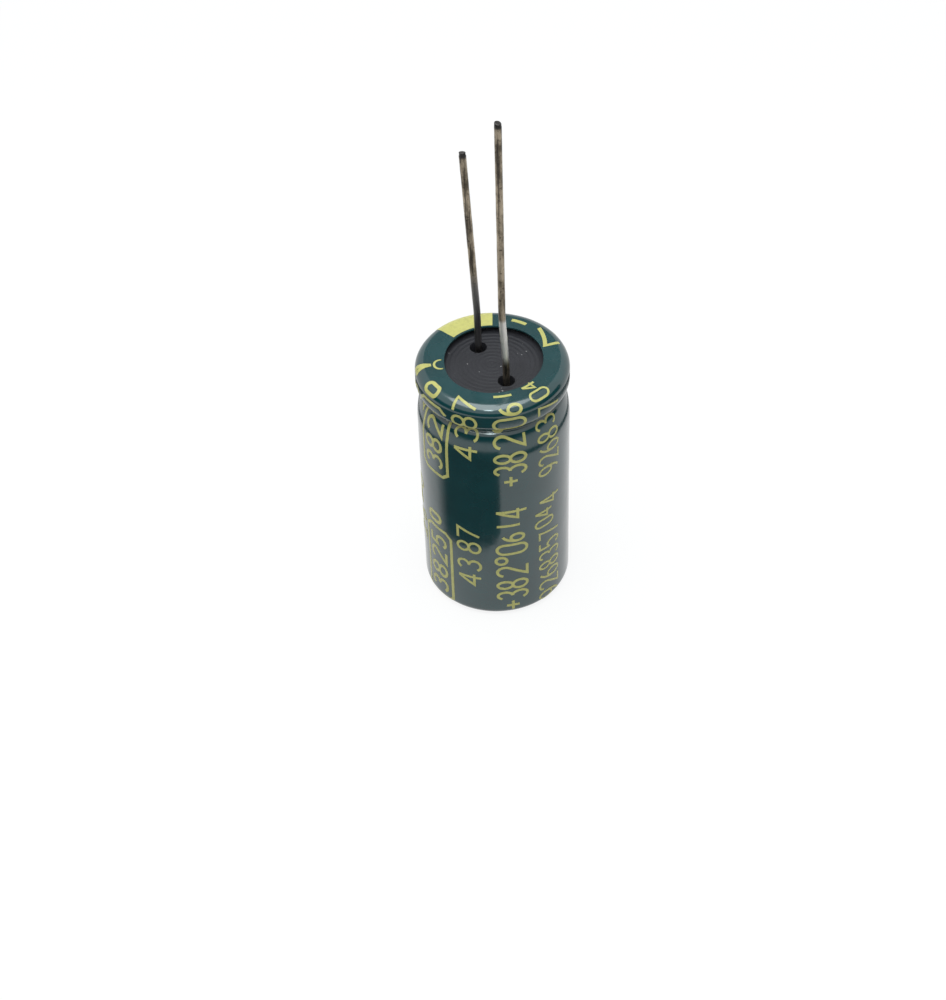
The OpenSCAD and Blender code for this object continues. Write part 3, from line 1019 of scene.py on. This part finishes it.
class CAPACITOR_OT_finishes(Operator):
    """Finishes of the solids that stay: the can, the tabs and the winding"""
    bl_idname = "capacitor.finishes"
    bl_label = "Can and winding finishes"

    def execute(self, context):
        # The tabs' aluminium gets a dark grey: painted shade, for their tops deep in the rubber's
        # mouths.
        tab = metal_material("tab_aluminium", (0.34, 0.34, 0.35), 0.5, 0.4 * MM)
        finishes = {
            "can": can_material(),
            "anode_tab": tab,
            "cathode_tab": tab,
            "anode_foil": metal_material("etched_foil", (0.36, 0.36, 0.38), 0.62, 0.1 * MM),
            "cathode_foil": metal_material("plain_foil", (0.7, 0.7, 0.72), 0.4, 0.3 * MM),
            "inner_paper": paper_material("inner_separator", (0.52, 0.38, 0.2), 0.7),
            "outer_paper": paper_material("outer_separator", (0.6, 0.46, 0.27), 0.7),
            "closing_tape": paper_material("tape", (0.74, 0.68, 0.52), 0.45),
        }
        for node, material in finishes.items():
            solid = frame["nodes"][node]
            solid.data.materials.clear()
            solid.data.materials.append(material)
        return {"FINISHED"}


class CAPACITOR_OT_stage(Operator):
    """White floor, pale surroundings, two lamps, cards seen only in gloss, and the camera"""
    bl_idname = "capacitor.stage"
    bl_label = "Studio"

    def execute(self, context):
        studio = context.scene.capacitor_studio
        context.scene.view_settings.view_transform = "Standard"
        place = Vector(studio.camera)
        self.add_floor(studio)
        self.add_surroundings(context, studio)
        self.add_lamp("soft_box", studio.softbox, size=0.36, place=(0.02, -0.03, 0.33),
                      tint=(0.93, 0.99, 1))
        self.add_lamp("strip_light", studio.strip, size=0.07, place=(0.190, -0.138, 0.323),
                      tint=(0.78, 0.97, 1))
        card = self.card_material("black_card", tone=0.05).material
        soft = self.card_material("soft_edged_card", tone=0.05)
        soft.link(self.left_fade(soft), soft.shader.inputs["Alpha"])
        for window in WINDOWS:
            self.add_flag(context, place, window, soft.material if window.soft else card)
        self.add_dark_wall(place, card)
        self.add_back_card(context, place, self.card_material("grey_card", tone=0.7).material)
        self.add_camera(context, studio, place)
        return {"FINISHED"}

    def add_floor(self, studio):
        """A floor that is white to the camera and in gloss, and keeps a faint shadow."""
        deselect()
        bpy.ops.mesh.primitive_grid_add(x_subdivisions=8, y_subdivisions=8, size=3,
                                        location=(0, 0, SLEEVE_LOW.z - 0.03 * MM))
        floor = bpy.context.object
        floor.name = "studio_floor"
        m = Nodes("pale_floor", 0.9, specular=0.1)
        m.shader.inputs["Base Color"].default_value = (studio.floor,) * 3 + (1,)
        paper = m.add("ShaderNodeBsdfDiffuse")
        paper.inputs["Color"].default_value = (0.92, 0.92, 0.92, 1)
        white = m.add("ShaderNodeEmission")
        white.inputs["Strength"].default_value = 1.0
        far = m.span(m.radius(), *FLOOR_FADE, FLOOR_WHITE, 1)
        glow = m.mix_shader(far, paper.outputs[0], white.outputs[0])
        path = m.add("ShaderNodeLightPath")
        mirrored = m.mix_shader(in_gloss(m.tree, path), m.shader.outputs[0], white.outputs[0])
        seen = m.mix_shader(path.outputs["Is Camera Ray"], mirrored, glow)
        m.link(seen, m.tree.nodes["Material Output"].inputs["Surface"])
        floor.data.materials.append(m.material)

    def add_surroundings(self, context, studio):
        """A world that is white to the camera and in gloss, and grey to diffuse light."""
        world = bpy.data.worlds.new("pale_surroundings")
        context.scene.world = world
        world.use_nodes = True
        tree = world.node_tree
        back = tree.nodes["Background"]
        back.inputs["Color"].default_value = (1, 1, 1, 1)
        path = tree.nodes.new("ShaderNodeLightPath")
        level = tree.nodes.new("ShaderNodeMapRange")
        level.inputs["To Min"].default_value = studio.around
        level.inputs["To Max"].default_value = 1.0
        shown = either(tree, path.outputs["Is Camera Ray"], in_gloss(tree, path))
        tree.links.new(shown, level.inputs["Value"])
        tree.links.new(level.outputs["Result"], back.inputs["Strength"])

    def add_lamp(self, name, power, size, place, tint):
        lamp = bpy.data.lights.new(name, "AREA")
        lamp.shape = "DISK"
        lamp.size = size
        lamp.energy = power
        lamp.color = tint
        box = bpy.data.objects.new(name, lamp)
        box.location = place
        box.rotation_euler = Vector(place).to_track_quat("Z", "Y").to_euler()
        bpy.context.scene.collection.objects.link(box)

    def hang(self, card, material):
        """Makes a piece a stage card that shows only in gloss."""
        card.data.materials.clear()
        card.data.materials.append(material)
        card.visible_camera = False
        card.visible_diffuse = False
        card.visible_shadow = False

    def card_material(self, name, tone):
        m = Nodes(name, 0.8, specular=0.2)
        m.colour(m.ramp(m.noise(4 * MM, 2), (0.3, tone * 0.85), (0.7, tone * 1.15)))
        return m

    def left_fade(self, m):
        """Fades a card in from its left edge."""
        across = m.add("ShaderNodeSeparateXYZ")
        m.link(m.add("ShaderNodeTexCoord").outputs["UV"], across.inputs["Vector"])
        return m.span(across.outputs["X"], 0, CARD_FADE)

    def add_flag(self, context, place, window, material):
        """A dark card over the floor, outlined so that it fills a window of the film's gloss."""
        deselect()
        bpy.ops.mesh.primitive_grid_add(x_subdivisions=32, y_subdivisions=24, size=2)
        flag = name_piece(context.object, window.name)
        card_z = window.card_z * MM
        line = film_line(FILM_T)
        begin = film_start(line)
        for vertex in flag.data.vertices:
            across, up = vertex.co.x, vertex.co.y
            low = window.low - window.sag * math.sqrt(max(0.0, 1 - across * across))
            turn = math.radians(window.middle + window.half * across)
            reach = low + (window.high - low) * (up + 1) / 2
            (r, z), normal = film_point(reach * MM - begin, line)
            spot = turned(r, z, turn)
            outward = turned(*normal, turn)
            seen = (spot - place).normalized()
            away = seen - 2 * seen.dot(outward) * outward
            vertex.co = spot + away * (card_z - spot.z) / away.z
        self.hang(flag, material)

    def add_dark_wall(self, place, material):
        """A low dark wall behind the camera's side, for the dark lines over rim and bead."""
        facing = math.atan2(place.y, place.x)
        half = math.radians(100)
        wall_r, low, high = 0.092, 0.0005, 0.05
        wall = lathe("dark_wall", [(wall_r, low), (wall_r, high)], 40, facing - half, 2 * half)
        self.hang(wall, material)

    def add_back_card(self, context, place, material):
        """A grey card high up opposite the camera, for the flat ring on top of the rim."""
        distance = 0.3
        deselect()
        bpy.ops.mesh.primitive_grid_add(x_subdivisions=8, y_subdivisions=8, size=0.17)
        card = name_piece(context.object, "back_card")
        rim = Vector((0, 0, CAN_HIGH.z))
        away = Vector((rim.x - place.x, rim.y - place.y, place.z - rim.z)).normalized()
        facing = (-away).to_track_quat("Z", "Y").to_matrix().to_4x4()
        card.data.transform(Matrix.Translation(rim + away * distance) @ facing)
        self.hang(card, material)

    def add_camera(self, context, studio, place):
        camera = bpy.data.cameras.new("photo_camera")
        camera.lens = studio.lens
        camera.sensor_width = 36
        camera.clip_start = 0.01
        holder = bpy.data.objects.new("photo_camera", camera)
        context.scene.collection.objects.link(holder)
        turn = Matrix.Rotation(math.radians(CAMERA_TURN), 4, "Z")
        tilt = Matrix.Rotation(math.radians(90 - CAMERA_DOWN), 4, "X")
        roll = Matrix.Rotation(math.radians(CAMERA_ROLL), 4, "Z")
        holder.matrix_world = Matrix.Translation(place) @ turn @ tilt @ roll
        context.scene.camera = holder


class CAPACITOR_PT_panel(Panel):
    """Settings and steps of the capacitor's looks"""
    bl_idname = "CAPACITOR_PT_panel"
    bl_label = "Capacitor"
    bl_space_type = "VIEW_3D"
    bl_region_type = "UI"
    bl_category = "Capacitor"

    def draw(self, context):
        for step in STEPS:
            self.layout.operator(step.bl_idname)
        for name, group in SETTINGS:
            box = self.layout.box()
            settings = getattr(context.scene, name)
            for key in group.__annotations__:
                box.prop(settings, key)


STEPS = (CAPACITOR_OT_stage, CAPACITOR_OT_finishes, CAPACITOR_OT_sleeve,
         CAPACITOR_OT_polarity_field, CAPACITOR_OT_print, CAPACITOR_OT_bung, CAPACITOR_OT_leads)
CLASSES = tuple(group for _, group in SETTINGS) + STEPS + (CAPACITOR_PT_panel,)


def register():
    for cls in CLASSES:
        bpy.utils.register_class(cls)
    for name, group in SETTINGS:
        setattr(bpy.types.Scene, name, PointerProperty(type=group))


def unregister():
    for name, _ in reversed(SETTINGS):
        delattr(bpy.types.Scene, name)
    for cls in reversed(CLASSES):
        bpy.utils.unregister_class(cls)


def main():
    register()
    bpy.ops.capacitor.stage()
    bpy.ops.capacitor.finishes()
    bpy.ops.capacitor.sleeve()
    bpy.ops.capacitor.polarity_field()
    bpy.ops.capacitor.print()
    bpy.ops.capacitor.bung()
    bpy.ops.capacitor.leads()


if __name__ == "__main__":
    main()
